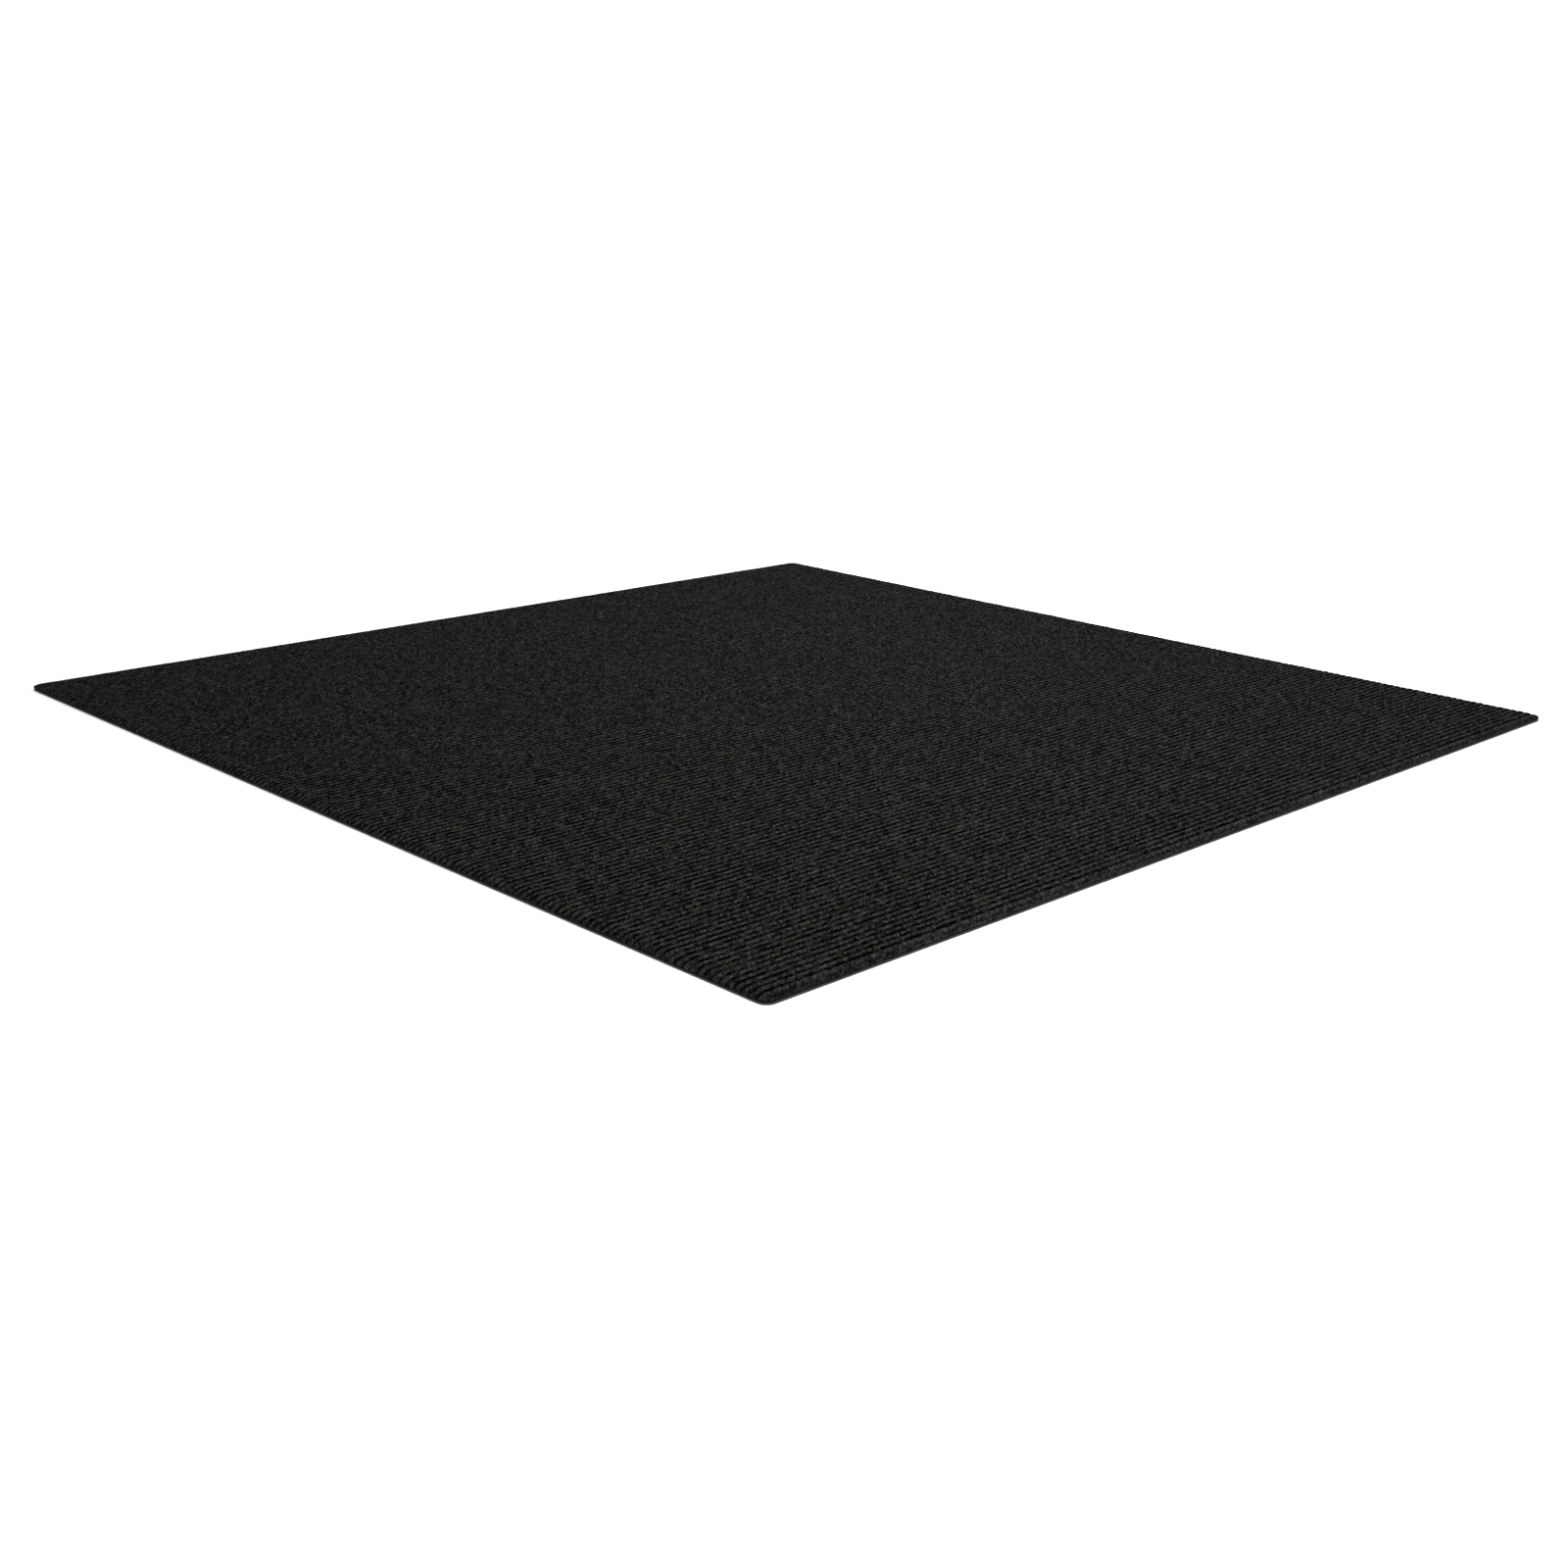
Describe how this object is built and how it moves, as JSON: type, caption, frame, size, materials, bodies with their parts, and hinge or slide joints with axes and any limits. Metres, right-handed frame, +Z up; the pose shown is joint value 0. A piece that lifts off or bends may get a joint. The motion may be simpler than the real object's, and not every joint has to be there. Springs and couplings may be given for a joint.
{
  "type": "carpet tile",
  "caption": "Square ribbed needle-punched carpet tile on a thin latex backing, with small rounded corners and pressed edges, for covering a floor.",
  "frame": {"origin": "middle of the flat underside, on the floor", "axes": "+Z up through the tile's thickness, +X along the ribs, +Y across them"},
  "size_m": [0.6096, 0.6096, 0.004],
  "materials": {
    "carpet_fibre": "black needle-punched polyester fibre, matte with a slight sparkle on single fibres",
    "latex_felt": "felt soaked in dark latex, dull olive grey"
  },
  "bodies": {
    "root": {"ribbed_face": "carpet_fibre", "latex_backing": "latex_felt"}
  },
  "joints": []
}
